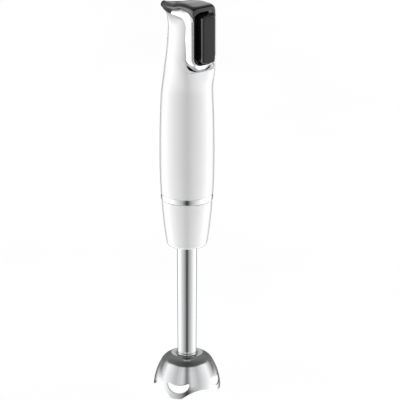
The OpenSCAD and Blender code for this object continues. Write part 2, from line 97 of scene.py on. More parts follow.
def tidy_mesh(obj, weld=True, sharp=32):
    bm = bmesh.new()
    bm.from_mesh(obj.data)
    if weld:
        bmesh.ops.remove_doubles(bm, verts=bm.verts, dist=2e-6)
        bmesh.ops.dissolve_degenerate(bm, dist=1e-7, edges=bm.edges)
    bmesh.ops.recalc_face_normals(bm, faces=bm.faces)
    bm.to_mesh(obj.data)
    bm.free()
    for polygon in obj.data.polygons:
        polygon.use_smooth = True
    obj.data.set_sharp_from_angle(angle=math.radians(sharp))


def apply_modifiers(obj, sharp=32):
    """Puts the modifiers' result into the mesh."""
    graph = bpy.context.evaluated_depsgraph_get()
    mesh = bpy.data.meshes.new_from_object(obj.evaluated_get(graph), depsgraph=graph)
    obj.modifiers.clear()
    old = obj.data
    obj.data = mesh
    bpy.data.meshes.remove(old)
    tidy_mesh(obj, weld=False, sharp=sharp)
    return obj


def bevel(obj, width, segments=3, angle=35, sharp=50):
    mod = obj.modifiers.new("bevel", "BEVEL")
    mod.width = width * MM
    mod.segments = segments
    mod.limit_method = "ANGLE"
    mod.angle_limit = math.radians(angle)
    mod.miter_outer = "MITER_ARC"
    mod.use_clamp_overlap = True
    return apply_modifiers(obj, sharp)


def cut(obj, *cutters):
    """Takes the cutters' space out of obj, and deletes them."""
    for cutter in cutters:
        mod = obj.modifiers.new("cut", "BOOLEAN")
        mod.operation = "DIFFERENCE"
        mod.solver = "EXACT"
        mod.object = cutter
    apply_modifiers(obj)
    for cutter in cutters:
        bpy.data.objects.remove(cutter)
    return obj


def loft(name, rings):
    """A closed skin over rings of equal length, capped at both ends."""
    n = len(rings[0])
    points = [p for ring in rings for p in ring]
    faces = []
    for k in range(len(rings) - 1):
        for i in range(n):
            j = (i + 1) % n
            faces.append((k * n + i, k * n + j, (k + 1) * n + j, (k + 1) * n + i))
    faces.append(tuple(range(n)))
    faces.append(tuple((len(rings) - 1) * n + i for i in range(n)))
    return make_mesh(name, points, faces)


def lathe(name, profile, count=128, axis="Z", centre=(0, 0, 0)):
    """Turns a closed outline of (radius, distance along the axis) round the Z or Y axis."""
    rings = []
    for i in range(count):
        a = 2 * math.pi * i / count
        ring = []
        for r, h in profile:
            if axis == "Z":
                p = (r * math.cos(a), r * math.sin(a), h)
            else:
                p = (r * math.cos(a), h, -r * math.sin(a))
            ring.append(tuple(c + o for c, o in zip(p, centre)))
        rings.append(ring)
    n = len(profile)
    points = [p for ring in rings for p in ring]
    faces = []
    for k in range(count):
        m = (k + 1) % count
        for i in range(n):
            j = (i + 1) % n
            faces.append((k * n + i, m * n + i, m * n + j, k * n + j))
    return make_mesh(name, points, faces)


def side_prism(name, outline, half):
    """Extrudes an outline of (forward, height) to both sides."""
    rings = [[(x, -f, z) for f, z in outline] for x in (-half, half)]
    return loft(name, rings)


def front_prism(name, outline, near, far):
    """Extrudes an outline of (x, height) forward."""
    return loft(name, [[(x, -f, z) for x, z in outline] for f in (near, far)])


def pill(half, low, high, corner_low, corner_high=None, count=9):
    """Front outline of (x, height) with round corners."""
    top = corner_low if corner_high is None else corner_high
    return (arc(half - top, high - top, top, 0, 90, count)
            + arc(top - half, high - top, top, 90, 180, count)
            + arc(corner_low - half, low + corner_low, corner_low, 180, 270, count)
            + arc(half - corner_low, low + corner_low, corner_low, 270, 360, count))


def plate(name, half, low, high, corner, levels, corner_high=None):
    """A stack of front outlines, each drawn in by an inset at a distance forward."""
    rings = []
    for inset, forward in levels:
        top = None if corner_high is None else max(corner_high - inset, 0.25)
        outline = pill(half - inset, low + inset, high - inset, max(corner - inset, 0.25), top)
        rings.append([(x, -forward, z) for x, z in outline])
    return loft(name, rings)


# ---------------------------------------------------------------- materials

def new_material(name):
    material = bpy.data.materials.new(name)
    material.use_nodes = True
    nodes = material.node_tree.nodes
    return material, nodes, material.node_tree.links, nodes["Principled BSDF"]


def ramp(nodes, stops):
    node = nodes.new("ShaderNodeValToRGB")
    while len(node.color_ramp.elements) < len(stops):
        node.color_ramp.elements.new(0.5)
    for element, (place, colour) in zip(node.color_ramp.elements, stops):
        element.position = place
        element.color = (*colour, 1) if isinstance(colour, tuple) else (colour, colour, colour, 1)
    return node


def noise(nodes, links, scale, detail=3.0, stretch=(1, 1, 1)):
    """Noise in the object's own metres, stretched along an axis if asked."""
    place = nodes.new("ShaderNodeTexCoord")
    mapping = nodes.new("ShaderNodeMapping")
    mapping.inputs["Scale"].default_value = stretch
    texture = nodes.new("ShaderNodeTexNoise")
    texture.inputs["Scale"].default_value = scale
    texture.inputs["Detail"].default_value = detail
    links.new(place.outputs["Object"], mapping.inputs["Vector"])
    links.new(mapping.outputs["Vector"], texture.inputs["Vector"])
    return texture.outputs["Fac"]


def vary(nodes, links, source, low, high):
    node = nodes.new("ShaderNodeMapRange")
    node.inputs["To Min"].default_value = low
    node.inputs["To Max"].default_value = high
    links.new(source, node.inputs["Value"])
    return node.outputs["Result"]


def bump(nodes, links, shader, height, strength, distance):
    node = nodes.new("ShaderNodeBump")
    node.inputs["Strength"].default_value = strength
    node.inputs["Distance"].default_value = distance
    links.new(height, node.inputs["Height"])
    links.new(node.outputs["Normal"], shader.inputs["Normal"])


def plastic(name, colour, rough, grain=900, relief=0.15, coat=0.0, shade=0.04, coat_ior=1.5, shine=0.5):
    """Moulded plastic: faint flow marks in colour and gloss, and a fine surface ripple."""
    material, nodes, links, shader = new_material(name)
    flow = noise(nodes, links, 60, 4)
    tint = ramp(nodes, [(0.3, tuple(c * (1 - shade) for c in colour)), (0.7, colour)])
    links.new(flow, tint.inputs["Fac"])
    links.new(tint.outputs["Color"], shader.inputs["Base Color"])
    gloss = vary(nodes, links, noise(nodes, links, 35, 5), rough - 0.04, rough + 0.04)
    links.new(gloss, shader.inputs["Roughness"])
    bump(nodes, links, shader, noise(nodes, links, grain, 2), relief, 0.00003)
    shader.inputs["Specular IOR Level"].default_value = shine
    shader.inputs["Coat Weight"].default_value = coat
    shader.inputs["Coat Roughness"].default_value = 0.04
    shader.inputs["Coat IOR"].default_value = coat_ior
    return material


def metal(name, colour, rough, stretch=(1, 1, 1), scale=500, relief=0.1, swing=0.04, shade=0.06):
    """Worked metal: fine lines along its finish, with the gloss varying slightly."""
    material, nodes, links, shader = new_material(name)
    lines = noise(nodes, links, scale, 4, stretch)
    tint = ramp(nodes, [(0.25, tuple(c * (1 - shade) for c in colour)), (0.75, colour)])
    links.new(lines, tint.inputs["Fac"])
    links.new(tint.outputs["Color"], shader.inputs["Base Color"])
    links.new(vary(nodes, links, lines, rough - swing, rough + swing), shader.inputs["Roughness"])
    bump(nodes, links, shader, lines, relief, 0.00001)
    shader.inputs["Metallic"].default_value = 1.0
    return material


def laminated(name):
    """Stacked sheets: a dark line at every sheet."""
    material, nodes, links, shader = new_material(name)
    place = nodes.new("ShaderNodeTexCoord")
    wave = nodes.new("ShaderNodeTexWave")
    wave.bands_direction = "Z"
    wave.inputs["Scale"].default_value = 320
    wave.inputs["Distortion"].default_value = 0.2
    links.new(place.outputs["Object"], wave.inputs["Vector"])
    tint = ramp(nodes, [(0.1, (0.12, 0.12, 0.13)), (0.6, (0.42, 0.43, 0.45))])
    links.new(wave.outputs["Fac"], tint.inputs["Fac"])
    links.new(tint.outputs["Color"], shader.inputs["Base Color"])
    bump(nodes, links, shader, wave.outputs["Fac"], 0.4, 0.0001)
    shader.inputs["Metallic"].default_value = 0.9
    shader.inputs["Roughness"].default_value = 0.42
    return material


def wound(name):
    """Enamelled wire laid side by side."""
    material, nodes, links, shader = new_material(name)
    place = nodes.new("ShaderNodeTexCoord")
    wave = nodes.new("ShaderNodeTexWave")
    wave.bands_direction = "DIAGONAL"
    wave.inputs["Scale"].default_value = 260
    wave.inputs["Distortion"].default_value = 1.5
    wave.inputs["Detail"].default_value = 1
    links.new(place.outputs["Object"], wave.inputs["Vector"])
    tint = ramp(nodes, [(0.1, (0.16, 0.05, 0.015)), (0.7, (0.72, 0.3, 0.11))])
    links.new(wave.outputs["Fac"], tint.inputs["Fac"])
    links.new(tint.outputs["Color"], shader.inputs["Base Color"])
    bump(nodes, links, shader, wave.outputs["Fac"], 0.6, 0.0002)
    shader.inputs["Metallic"].default_value = 0.85
    shader.inputs["Roughness"].default_value = 0.3
    return material


def board(name):
    """Circuit board: solder mask over faint tracks."""
    material, nodes, links, shader = new_material(name)
    place = nodes.new("ShaderNodeTexCoord")
    bricks = nodes.new("ShaderNodeTexBrick")
    bricks.inputs["Scale"].default_value = 260
    bricks.inputs["Color1"].default_value = (0.02, 0.14, 0.06, 1)
    bricks.inputs["Color2"].default_value = (0.03, 0.18, 0.08, 1)
    bricks.inputs["Mortar"].default_value = (0.06, 0.28, 0.12, 1)
    links.new(place.outputs["Object"], bricks.inputs["Vector"])
    links.new(bricks.outputs["Color"], shader.inputs["Base Color"])
    bump(nodes, links, shader, bricks.outputs["Fac"], 0.3, 0.00005)
    shader.inputs["Roughness"].default_value = 0.35
    return material


ALONG = (60, 60, 1)      # lines along Z
ROUND = (1, 1, 40)       # lines round Z
MATERIALS = {
    "white_gloss": plastic("white_gloss", (0.9, 0.9, 0.9), 0.3, coat=1.0, shade=0.012, coat_ior=2.1),
    "chrome": metal("chrome", (0.8, 0.81, 0.82), 0.07, scale=300, relief=0.02, swing=0.02, shade=0.02),
    "black_gloss": plastic("black_gloss", (0.006, 0.006, 0.0065), 0.12, relief=0.05, coat=1.0, coat_ior=1.62,
                           shine=0.1),
    "soft_touch": plastic("soft_touch", (0.026, 0.026, 0.028), 0.6, grain=2600, relief=0.5, shine=0.35),
    "black_rubber": plastic("black_rubber", (0.018, 0.018, 0.019), 0.5, grain=1800, relief=0.4),
    "polished_steel": metal("polished_steel", (0.6, 0.605, 0.61), 0.14, stretch=ALONG, scale=60),
    "bright_steel": metal("bright_steel", (0.62, 0.63, 0.64), 0.25, stretch=ROUND, scale=120),
    "cast_aluminium": metal("cast_aluminium", (0.6, 0.61, 0.63), 0.45, scale=700, relief=0.6),
    "lamination_steel": laminated("lamination_steel"),
    "copper_wire": wound("copper_wire"),
    "holder_brass": metal("holder_brass", (0.75, 0.55, 0.22), 0.28, scale=300),
    "bronze": metal("bronze", (0.5, 0.34, 0.17), 0.5, scale=1500, relief=0.6),
    "carbon": plastic("carbon", (0.03, 0.03, 0.032), 0.55, grain=2200, relief=0.6),
    "nylon": plastic("nylon", (0.72, 0.71, 0.66), 0.45, grain=1200, relief=0.3),
    "black_nylon": plastic("black_nylon", (0.022, 0.022, 0.023), 0.42, grain=1500, relief=0.4),
    "circuit_board": board("circuit_board"),
    "board_component": plastic("board_component", (0.32, 0.16, 0.05), 0.3, grain=500, relief=0.4),
}


def finish_piece(obj, slot, body, *nodes):
    """Gives a piece its material and its body, and hides the CAD nodes that it stands for."""
    obj.data.materials.clear()
    obj.data.materials.append(MATERIALS[slot])
    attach(obj, body)
    if nodes:
        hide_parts(*nodes)
    return obj


for part in frame["record"]["subparts"]:
    node = frame["nodes"][part["node"]]
    if not node.data.materials:
        node.data.materials.append(None)
    for index in range(len(node.data.materials)):
        node.data.materials[index] = MATERIALS[part["material_slot"]]


# ---------------------------------------------------------------- housing and its seat for the head

SHELL_LOW, SHELL_TOP = (corner.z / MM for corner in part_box("handle_shell"))
WALL = 2.2
BEZEL_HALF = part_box("chrome_bezel")[1].x / MM
BLACK_HALF = 13.9
PANEL_FACE = -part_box("front_panel")[0].y / MM
PANEL_LOW, PANEL_TOP = (corner.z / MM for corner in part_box("front_panel"))
TRIGGER_LOW, TRIGGER_HIGH = (corner.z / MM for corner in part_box("trigger"))
TRIGGER_FACE = -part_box("trigger")[0].y / MM
TRIGGER_HALF = 7.8
CORNER = (13, 388.6)     # centre of the seat's upper corner, forward and height
CORNER_ROUND = 8.8

half_line = smooth_line([(208, 26.2), (225, 27), (250, 27.4), (275, 27.2), (292, 26.8), (309, 26.2),
                         (320, 25.5), (334, 24.6), (345, 23.9), (355, 23), (364, 22.2), (373, 21.6),
                         (382, 21.1), (388, 20.6), (392, 19.7), (395, 18.3), (397.5, 16)])
rear_line = smooth_line([(208, 26.2), (225, 27), (250, 27.4), (275, 27.2), (292, 26.8), (309, 26.2),
                         (320, 25.2), (334, 22.9), (345, 20.9), (355, 18.9), (364, 18.1), (373, 17.4),
                         (382, 17), (388, 18.6), (392, 21.6), (395, 25.6), (397.5, 28)])
front_line = smooth_line([(208, 26.2), (225, 27), (250, 27.4), (275, 27.2), (292, 26.8), (309, 26.2),
                          (320, 26), (334, 27), (345, 26.4), (355, 24.6), (373, 24.6), (397.5, 24.6)])
middle_line = smooth_line([(310, 0), (345, 3), (382, 3.5), (398, 1)])
square_line = smooth_line([(208, 2), (318, 2), (350, 3), (398, 3)])


def housing_ring(z, wall=0.0, count=192):
    """Section of the housing: half an ellipse behind, and a squarer half in front."""
    mid = middle_line(z)
    half = half_line(z) - wall
    rear = rear_line(z) + mid - wall
    front = front_line(z) - mid - wall
    power = 2 / square_line(z)
    ring = []
    for i in range(count):
        a = 2 * math.pi * i / count
        c, s = math.cos(a), math.sin(a)
        if s < 0:
            ring.append((half * math.copysign(abs(c) ** power, c), -mid - front * (-s) ** power, z))
        else:
            ring.append((half * c, -mid + rear * s, z))
    return ring


def seat_outline():
    """Side line where the housing meets the bezel, from the tail down to the bezel's toe."""
    return ([(-39.5, 390.4), (-24, 394), (-3.5, 397)] + arc(*CORNER, CORNER_ROUND, 90, 0, 24)
            + [(21.1, 380), (20.5, 371), (20.1, 362), (20, 356), (20.3, 351), (21.2, 347), (22.6, 343.8),
               (24.5, 341.2)])


def build_housing():
    outer = [housing_ring(z) for z in spread(SHELL_LOW + 0.4, SHELL_TOP, 150)]
    lip = [housing_ring(SHELL_LOW, 0.4)]
    inner = [housing_ring(z, WALL) for z in spread(SHELL_LOW, SHELL_TOP - 4, 40)]
    # from the roof down outside, round the lower lip and up inside
    shell = loft("housing", outer[::-1] + lip + inner)
    seat = side_prism("seat", seat_outline() + [(60, 341.2), (60, 450), (-39.5, 450)], BEZEL_HALF + 0.25)
    room = front_prism("room", pill(12.3, 351, 440, 8.5), -10, 45)
    cut(shell, seat, room)
    return finish_piece(shell, "white_gloss", "handle", "handle_shell")


# ---------------------------------------------------------------- bezel

def blend_points(a, b, t):
    return tuple(x + (y - x) * t for x, y in zip(a, b))


def along(points, count):
    """Evenly spaced points along a broken line."""
    lengths = [0.0]
    for a, b in zip(points, points[1:]):
        lengths.append(lengths[-1] + math.dist(a, b))
    result = []
    for target in spread(0, lengths[-1], count):
        i = min(max(bisect.bisect_right(lengths, target) - 1, 0), len(points) - 2)
        span = lengths[i + 1] - lengths[i]
        result.append(blend_points(points[i], points[i + 1], (target - lengths[i]) / span))
    return result


def bezel_path():
    """Matching points from the left rear to the middle: on the outer line, on the black parts' edge, and
    the way from that edge into the opening."""
    face = PANEL_FACE - 0.3
    inward = (1, 0, 0)
    stations = []

    def add(outer, inner, ways):
        stations.extend(list(zip(outer, inner, ways))[1 if stations else 0:])

    # along the top
    add(along([(-BEZEL_HALF, -3.5, 397), (-BEZEL_HALF, 13, 397.4)], 14),
        along([(-BLACK_HALF, -3.5, 401.4), (-BLACK_HALF, 10, 405.1), (-BLACK_HALF, 18, 405.2)], 14),
        [inward] * 14)
    # round the upper corner
    add([(-BEZEL_HALF, f, z) for f, z in arc(*CORNER, CORNER_ROUND, 90, 0, 20)],
        [(-BLACK_HALF, f, z) for f, z in arc(face - 11, 394.2, 11, 90, 0, 20)], [inward] * 20)
    # down the front edge
    add(along([(-BEZEL_HALF, 21.8, 388.6), (-BEZEL_HALF, 20.5, 371), (-BEZEL_HALF, 20, 356)], 16),
        along([(-BLACK_HALF, face, 394.2), (-BLACK_HALF, face, 358.6)], 16), [inward] * 16)
    # round the toe
    turns = [math.radians(a) for a in spread(180, 270, 20)]
    add([(-3.5 + 13 * math.cos(a), 20 + 4.6 * (a / math.pi * 2 - 2) ** 2, 356 + 14.9 * math.sin(a))
         for a in turns],
        [(-3.9 + 10 * math.cos(a), face, 358.6 + 10 * math.sin(a)) for a in turns],
        [(-math.cos(a), 0, -math.sin(a)) for a in turns])
    add(along([(-3.5, 24.6, 341.1), (0, 24.6, 341.1)], 4), along([(-3.9, face, 348.6), (0, face, 348.6)], 4),
        [(0, 0, 1)] * 4)
    return stations


def build_bezel():
    """A band from the seat's line to the black edge, rounded over, with a lip round the black parts."""
    left = bezel_path()
    right = [tuple((-v[0], v[1], v[2]) for v in station) for station in reversed(left[:-1])]
    rings = []
    for outer, inner, way in left + right:
        p, q, way = Vector(outer), Vector(inner), Vector(way)
        across = Vector((0, q.y - p.y, q.z - p.z))
        bulge = p + across * 0.84 - way * 0.2 * abs(way.x)
        face = [p * (1 - t) ** 2 + bulge * 2 * t * (1 - t) + q * t * t for t in spread(0, 0.96, 12)]
        lip = [q + way * 0.12, q + way * 0.4, q + way * 0.62 - across * 0.03, q + way * 0.7 - across * 0.12]
        back = [q + way * 1.3 - across * 0.6, p + way * 2.2 + across * 0.1, p + way * 0.8 - across * 0.04]
        rings.append([(v.x, -v.y, v.z) for v in face + lip + back])
    return finish_piece(loft("bezel", rings), "chrome", "handle", "chrome_bezel")


# ---------------------------------------------------------------- black cap, tail and front panel

TAIL_END = -38
TAIL_START = -3.5        # the bezel's rear end, forward of the axis
BUSH_HIGH = frame["record"]["mounts"][0]["pos_m"][2] / MM

crown_line = smooth_line([(-38, 398.7), (-30, 400.4), (-20, 402.6), (-12, 404.7), (-3.5, 407.4), (6, 409.2),
                          (14, 409.9), (24, 410), (28, 409.7), (29.6, 409), (30.5, 407.5)])
edge_half_line = smooth_line([(-38, 3.4), (-30, 6.6), (-20, 10.2), (-12, 12.3), (-3.5, 13.9), (24, 13.9),
                              (28, 13.8), (29.8, 13.5), (30.5, 12.9)])
edge_high_line = smooth_line([(-38, 396), (-30, 397), (-20, 398.4), (-12, 399.6), (-3.5, 401.4), (10, 405.1),
                              (18, 405.2), (23, 404.1), (27, 400.5), (29.5, 396.4), (30.5, 394)])
# exponents of the arch's width and height, squarer towards the front
wide_line = smooth_line([(-38, 1), (-12, 0.8), (6, 0.68), (24, 0.46), (31, 0.42)])
tall_line = smooth_line([(-38, 1), (-12, 0.76), (6, 0.56), (24, 0.3), (31, 0.26)])
waist_half_line = smooth_line([(-38, 3.6), (-30, 8), (-20, 12.2), (-12, 14.6), (-3.5, 16.3)])
waist_high_line = smooth_line([(-38, 394.4), (-20, 395.6), (-3.5, 397.6)])
belly_line = smooth_line([(-38, 391.4), (-30, 392.2), (-20, 393), (-3.5, 395.8)])


def cap_ring(forward, tail):
    """Section of the cap: an arch, and on the tail a flank and a belly below it."""
    half, edge = edge_half_line(forward), edge_high_line(forward)
    crown = crown_line(forward)
    wide, tall = wide_line(forward), tall_line(forward)
    ring = []
    for a in spread(0, 180, 41):
        c, s = math.cos(math.radians(a)), math.sin(math.radians(a))
        ring.append((half * math.copysign(abs(c) ** wide, c), edge + (crown - edge) * abs(s) ** tall))
    if tail:
        waist, waist_high, low = waist_half_line(forward), waist_high_line(forward), belly_line(forward)
    else:
        waist, waist_high, low = half, edge, edge - 0.6
    flank = [blend_points((-half, edge), (-waist, waist_high), t) for t in (0.35, 0.7, 1)]
    flank += [(-waist + 0.12 * waist, low + 0.25 * (waist_high - low)), (-waist + 0.35 * waist, low)]
    ring += flank + [(0, low)] + [(-x, z) for x, z in reversed(flank)]
    return [(x, -forward, z) for x, z in ring]


def trigger_dish():
    """Cutter for the recess round the trigger, its walls sloping in."""
    low, high = TRIGGER_LOW - 1.6, TRIGGER_HIGH + 0.6
    slope = 2.6
    return plate("dish", TRIGGER_HALF + 1.2, low, high, 4.2,
                 [(0, PANEL_FACE - 2), (-slope, PANEL_FACE), (-slope - 1, PANEL_FACE + 9)])


def trigger_window():
    """Cutter for the opening that the trigger moves in."""
    return plate("window", TRIGGER_HALF + 0.3, TRIGGER_LOW - 2, TRIGGER_HIGH + 0.7, 3.8, [(0, 10), (0, 60)])


def build_cap():
    stops = spread(TAIL_END, TAIL_START - 0.06, 36)
    rings = [cap_ring(f, True) for f in stops]
    rings += [cap_ring(f, False) for f in spread(TAIL_START + 0.04, 22, 26) + spread(22.6, 30.5, 16)]
    cap = loft("cap", rings)
    hole = lathe("hole", [(0.01, 30), (3.05, 30), (3.05, 45), (0.01, 45)], 48, "Y", (0, 0, BUSH_HIGH))
    under = front_prism("under", [(-20, 380), (20, 380), (20, PANEL_TOP), (-20, PANEL_TOP)], 29.2, 40)
    cut(cap, trigger_dish(), trigger_window(), hole, under)
    return finish_piece(cap, "black_gloss", "handle", "top_cap")


def build_panel():
    panel = plate("panel", 13.4, PANEL_LOW, PANEL_TOP + 1.2, 9.6,
                  [(0.5, 26.2), (0, 26.4), (0, 29.9), (0.12, 30.25), (0.5, 30.5)], corner_high=0.6)
    over = front_prism("over", [(-20, PANEL_TOP), (20, PANEL_TOP), (20, 420), (-20, 420)], 20, 40)
    room = front_prism("back_room", pill(11.6, PANEL_LOW + 2.6, 440, 8), 20, 27.9)
    cut(panel, over, trigger_dish(), trigger_window(), room)
    return finish_piece(panel, "black_gloss", "handle", "front_panel")


def build_trigger():
    face = TRIGGER_FACE - 0.35
    inset = 1.1
    body = plate("trigger_button", TRIGGER_HALF, TRIGGER_LOW, TRIGGER_HIGH, 3.5,
                 [(0.6, 25.2), (0, 25.8), (0, face - 1.3), (0.1, face - 0.8), (0.35, face - 0.35),
                  (0.75, face - 0.06), (inset, face), (inset + 0.12, face - 0.1), (inset + 0.2, face - 1)])
    finish_piece(body, "black_gloss", "trigger", "trigger")
    pad = plate("soft_pad", TRIGGER_HALF, TRIGGER_LOW, TRIGGER_HIGH, 3.5,
                [(inset + 0.4, face - 1), (inset + 0.36, face - 0.2), (inset + 0.48, face),
                 (inset + 0.8, face + 0.14), (inset + 1.6, face + 0.2)])
    finish_piece(pad, "soft_touch", "trigger", "trigger_pad")
    dots = []
    for k in range(7):
        high = 364.4 + 3.6 * k
        dome = [(0.01, -0.2), (0.5, -0.2), (0.46, 0.06), (0.3, 0.13), (0.01, 0.15)]
        dots.append(lathe("dot", [(r, -h) for r, h in dome], 20, "Y", (0, -face - 0.2, high)))
    return join("pad_dots", dots, "black_gloss", "trigger")


def join(name, objects, slot, body, *nodes):
    """Makes one piece of several objects."""
    bm = bmesh.new()
    for obj in objects:
        bm.from_mesh(obj.data)
        bpy.data.objects.remove(obj)
    mesh = bpy.data.meshes.new(name)
    bm.to_mesh(mesh)
    bm.free()
    whole = bpy.data.objects.new(name, mesh)
    bpy.context.scene.collection.objects.link(whole)
    tidy_mesh(whole, weld=False)
    return finish_piece(whole, slot, body, *nodes)


def build_bush():
    """Rubber bush with two shallow grooves and a rolled mouth."""
    low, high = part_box("cord_bush")
    near, end, radius = low.y / MM, high.y / MM, high.x / MM
    bore = 2.6
    profile = [(bore, near), (radius - 0.7, near), (radius - 0.7, 38), (radius, 38.05)]
    for groove in (38.9, 39.7):
        profile += [(radius, groove - 0.25), (radius - 0.3, groove - 0.12), (radius - 0.3, groove + 0.12),
                    (radius, groove + 0.25)]
    profile += arc(radius - 0.8, end - 0.8, 0.8, 0, 90, 6) + arc(bore + 0.4, end - 0.4, 0.4, 90, 180, 5)
    return finish_piece(lathe("cord_grommet", profile, 64, "Y", (0, 0, BUSH_HIGH)), "black_rubber", "handle",
                        "cord_bush")


def build_ring():
    """Bright ring with rolled edges."""
    low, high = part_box("decor_ring")
    radius, z0, z1 = high.x / MM, low.z / MM, high.z / MM
    profile = ([(24.05, z0), (radius - 1, z0)] + arc(radius - 0.75, z0 + 0.6, 0.6, -90, 0, 6)
               + [(radius, (z0 + z1) / 2)] + arc(radius - 0.6, z1 - 0.4, 0.4, 0, 90, 6) + [(24.05, z1)])
    return finish_piece(lathe("bright_ring", profile, 192), "chrome", "handle", "decor_ring")


# ---------------------------------------------------------------- foot

TUBE_BORE = 8.5
CONE_LOW, CONE_HIGH = (corner.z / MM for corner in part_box("foot_shell"))
CONE_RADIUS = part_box("foot_shell")[1].x / MM
BELL_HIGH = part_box("bell")[1].z / MM
TUBE_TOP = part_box("shaft_tube")[1].z / MM

cone_line = smooth_line([(CONE_LOW + 3.4, 20.35), (166, 21.8), (174, 22.9), (183, 23.9), (192, 24.8),
                         (CONE_HIGH - 0.5, CONE_RADIUS)])


def build_cone():
    outside = arc(17, CONE_LOW + 3.4, 3.4, -90, -8, 10)
    outside += [(cone_line(z), z) for z in spread(CONE_LOW + 3.8, CONE_HIGH - 0.5, 30)]
    outside += [(CONE_RADIUS - 0.15, CONE_HIGH - 0.12), (CONE_RADIUS - 0.5, CONE_HIGH)]
    inside = [(CONE_RADIUS - 2, CONE_HIGH)]
    inside += [(cone_line(z) - 2, z) for z in spread(CONE_HIGH - 0.8, CONE_LOW + 5, 16)]
    inside += [(16.4, CONE_LOW + 2.4), (10.8, CONE_LOW + 2.4), (10.4, CONE_LOW + 2), (10.4, CONE_LOW + 0.5),
               (10.9, CONE_LOW)]
    return finish_piece(lathe("foot_cone", outside + inside, 192), "white_gloss", "foot", "foot_shell")


def build_tube():
    """Polished tube with a trumpet end."""
    flare = arc(12.8, BELL_HIGH + 3.6, 3.4, -132, -180, 10)
    outside = [(10.5, BELL_HIGH), (10.72, BELL_HIGH + 0.35), (10.62, BELL_HIGH + 0.75)] + flare[1:]
    outside += [(9.4 + 0.6 * t, BELL_HIGH + 4 + (CONE_LOW - BELL_HIGH - 4) * t) for t in spread(0.02, 1, 20)]
    outside += [(10, TUBE_TOP - 0.3), (9.7, TUBE_TOP)]
    inside = [(TUBE_BORE + 0.2, TUBE_TOP), (TUBE_BORE, TUBE_TOP - 0.2), (TUBE_BORE, BELL_HIGH)]
    return finish_piece(lathe("steel_tube", outside + inside, 128), "polished_steel", "foot", "shaft_tube")


BELL_RADIUS = 33.6
BELL_WALL = 1.2
LOBE_TURN = 128.5        # a long lobe's turn from the front, degrees
SHORT_TURN = 31          # a short lobe's
LOBE_STEP = 3.3          # height of the short lobes above the long ones
ARCHES = ((78, 12.3, 22.5), (172.5, 8.8, 27.5))     # turn, height and radius
SKIRT = (BELL_RADIUS - 57.9, 2, 57.9)    # centre and radius of the skirt's curve
DOME = (12.2, 24, 15.4)  # and of the dome's
CREASE = 29.4            # height where the two meet
SLOT_RADIUS = 32.6       # of the skirt at the slots
SLOT_HALF = 11.8
SLOT_TAPER = 9.4         # half of the slot's length that keeps its full height


def skirt_radius(z):
    cx, cz, radius = SKIRT
    return cx + math.sqrt(radius ** 2 - (z - cz) ** 2)


def soft_max(a, b, blend):
    return (a + b + math.sqrt((a - b) ** 2 + blend ** 2)) / 2


def turned_from(turn, centre):
    """Turn off one of two facing centres, within -90 to 90 degrees."""
    return (turn - centre + 90) % 180 - 90


def rim_height(turn):
    """Height of the bell's edge at a turn from the front: arches of two heights, and two shorter lobes."""
    near_short = abs(BELL_RADIUS * math.sin(math.radians(turned_from(turn, SHORT_TURN)))) < 17
    rim = LOBE_STEP if near_short else 0.0
    for centre, top, radius in ARCHES:
        off = math.radians(turned_from(turn, centre))
        if math.cos(off) <= 0.3:
            continue
        z = rim
        for _ in range(4):
            t = min(abs(skirt_radius(max(z, 0)) * math.sin(off)), radius)
            z = top - radius + math.sqrt(radius ** 2 - t ** 2)
        rim = soft_max(rim, z, 1.3)
    return rim


def slot_lift(turn):
    """How far the slot at a turn stands above those of the long lobes."""
    t = min(max((abs(turned_from(turn, SHORT_TURN)) - 22) / 38, 0), 1)
    return LOBE_STEP * (1 - t * t * (3 - 2 * t))


def slot_edges(turn):
    """Lower and upper edge of the curved slot at a turn from the front; equal where there is no slot."""
    off = min(turned_from(turn, LOBE_TURN), turned_from(turn, SHORT_TURN), key=abs)
    t = min(abs(SLOT_RADIUS * math.sin(math.radians(off))), SLOT_HALF)
    low = 19.5 - math.sqrt(13.5 ** 2 - t ** 2)
    high = 40 - math.sqrt(26 ** 2 - t ** 2)
    middle, gap = (low + high) / 2 + slot_lift(turn), (high - low) / 2
    if t > SLOT_TAPER:
        gap *= math.sqrt(max(1 - ((t - SLOT_TAPER) / (SLOT_HALF - SLOT_TAPER)) ** 2, 0))
    return middle - gap, middle + gap


def bell_turns(count):
    """Turns round the bell, drawn closer together towards the ends of the slots."""
    end = math.degrees(math.asin(SLOT_HALF / SLOT_RADIUS))
    turns = []
    centres = [SHORT_TURN, LOBE_TURN, SHORT_TURN + 180, LOBE_TURN + 180, SHORT_TURN + 360]
    for centre, following in zip(centres, centres[1:]):
        turns += [centre + end * math.sin(math.radians(a)) for a in spread(-90, 90, count)]
        turns += spread(centre + end, following - end, count)[1:-1]
    return turns


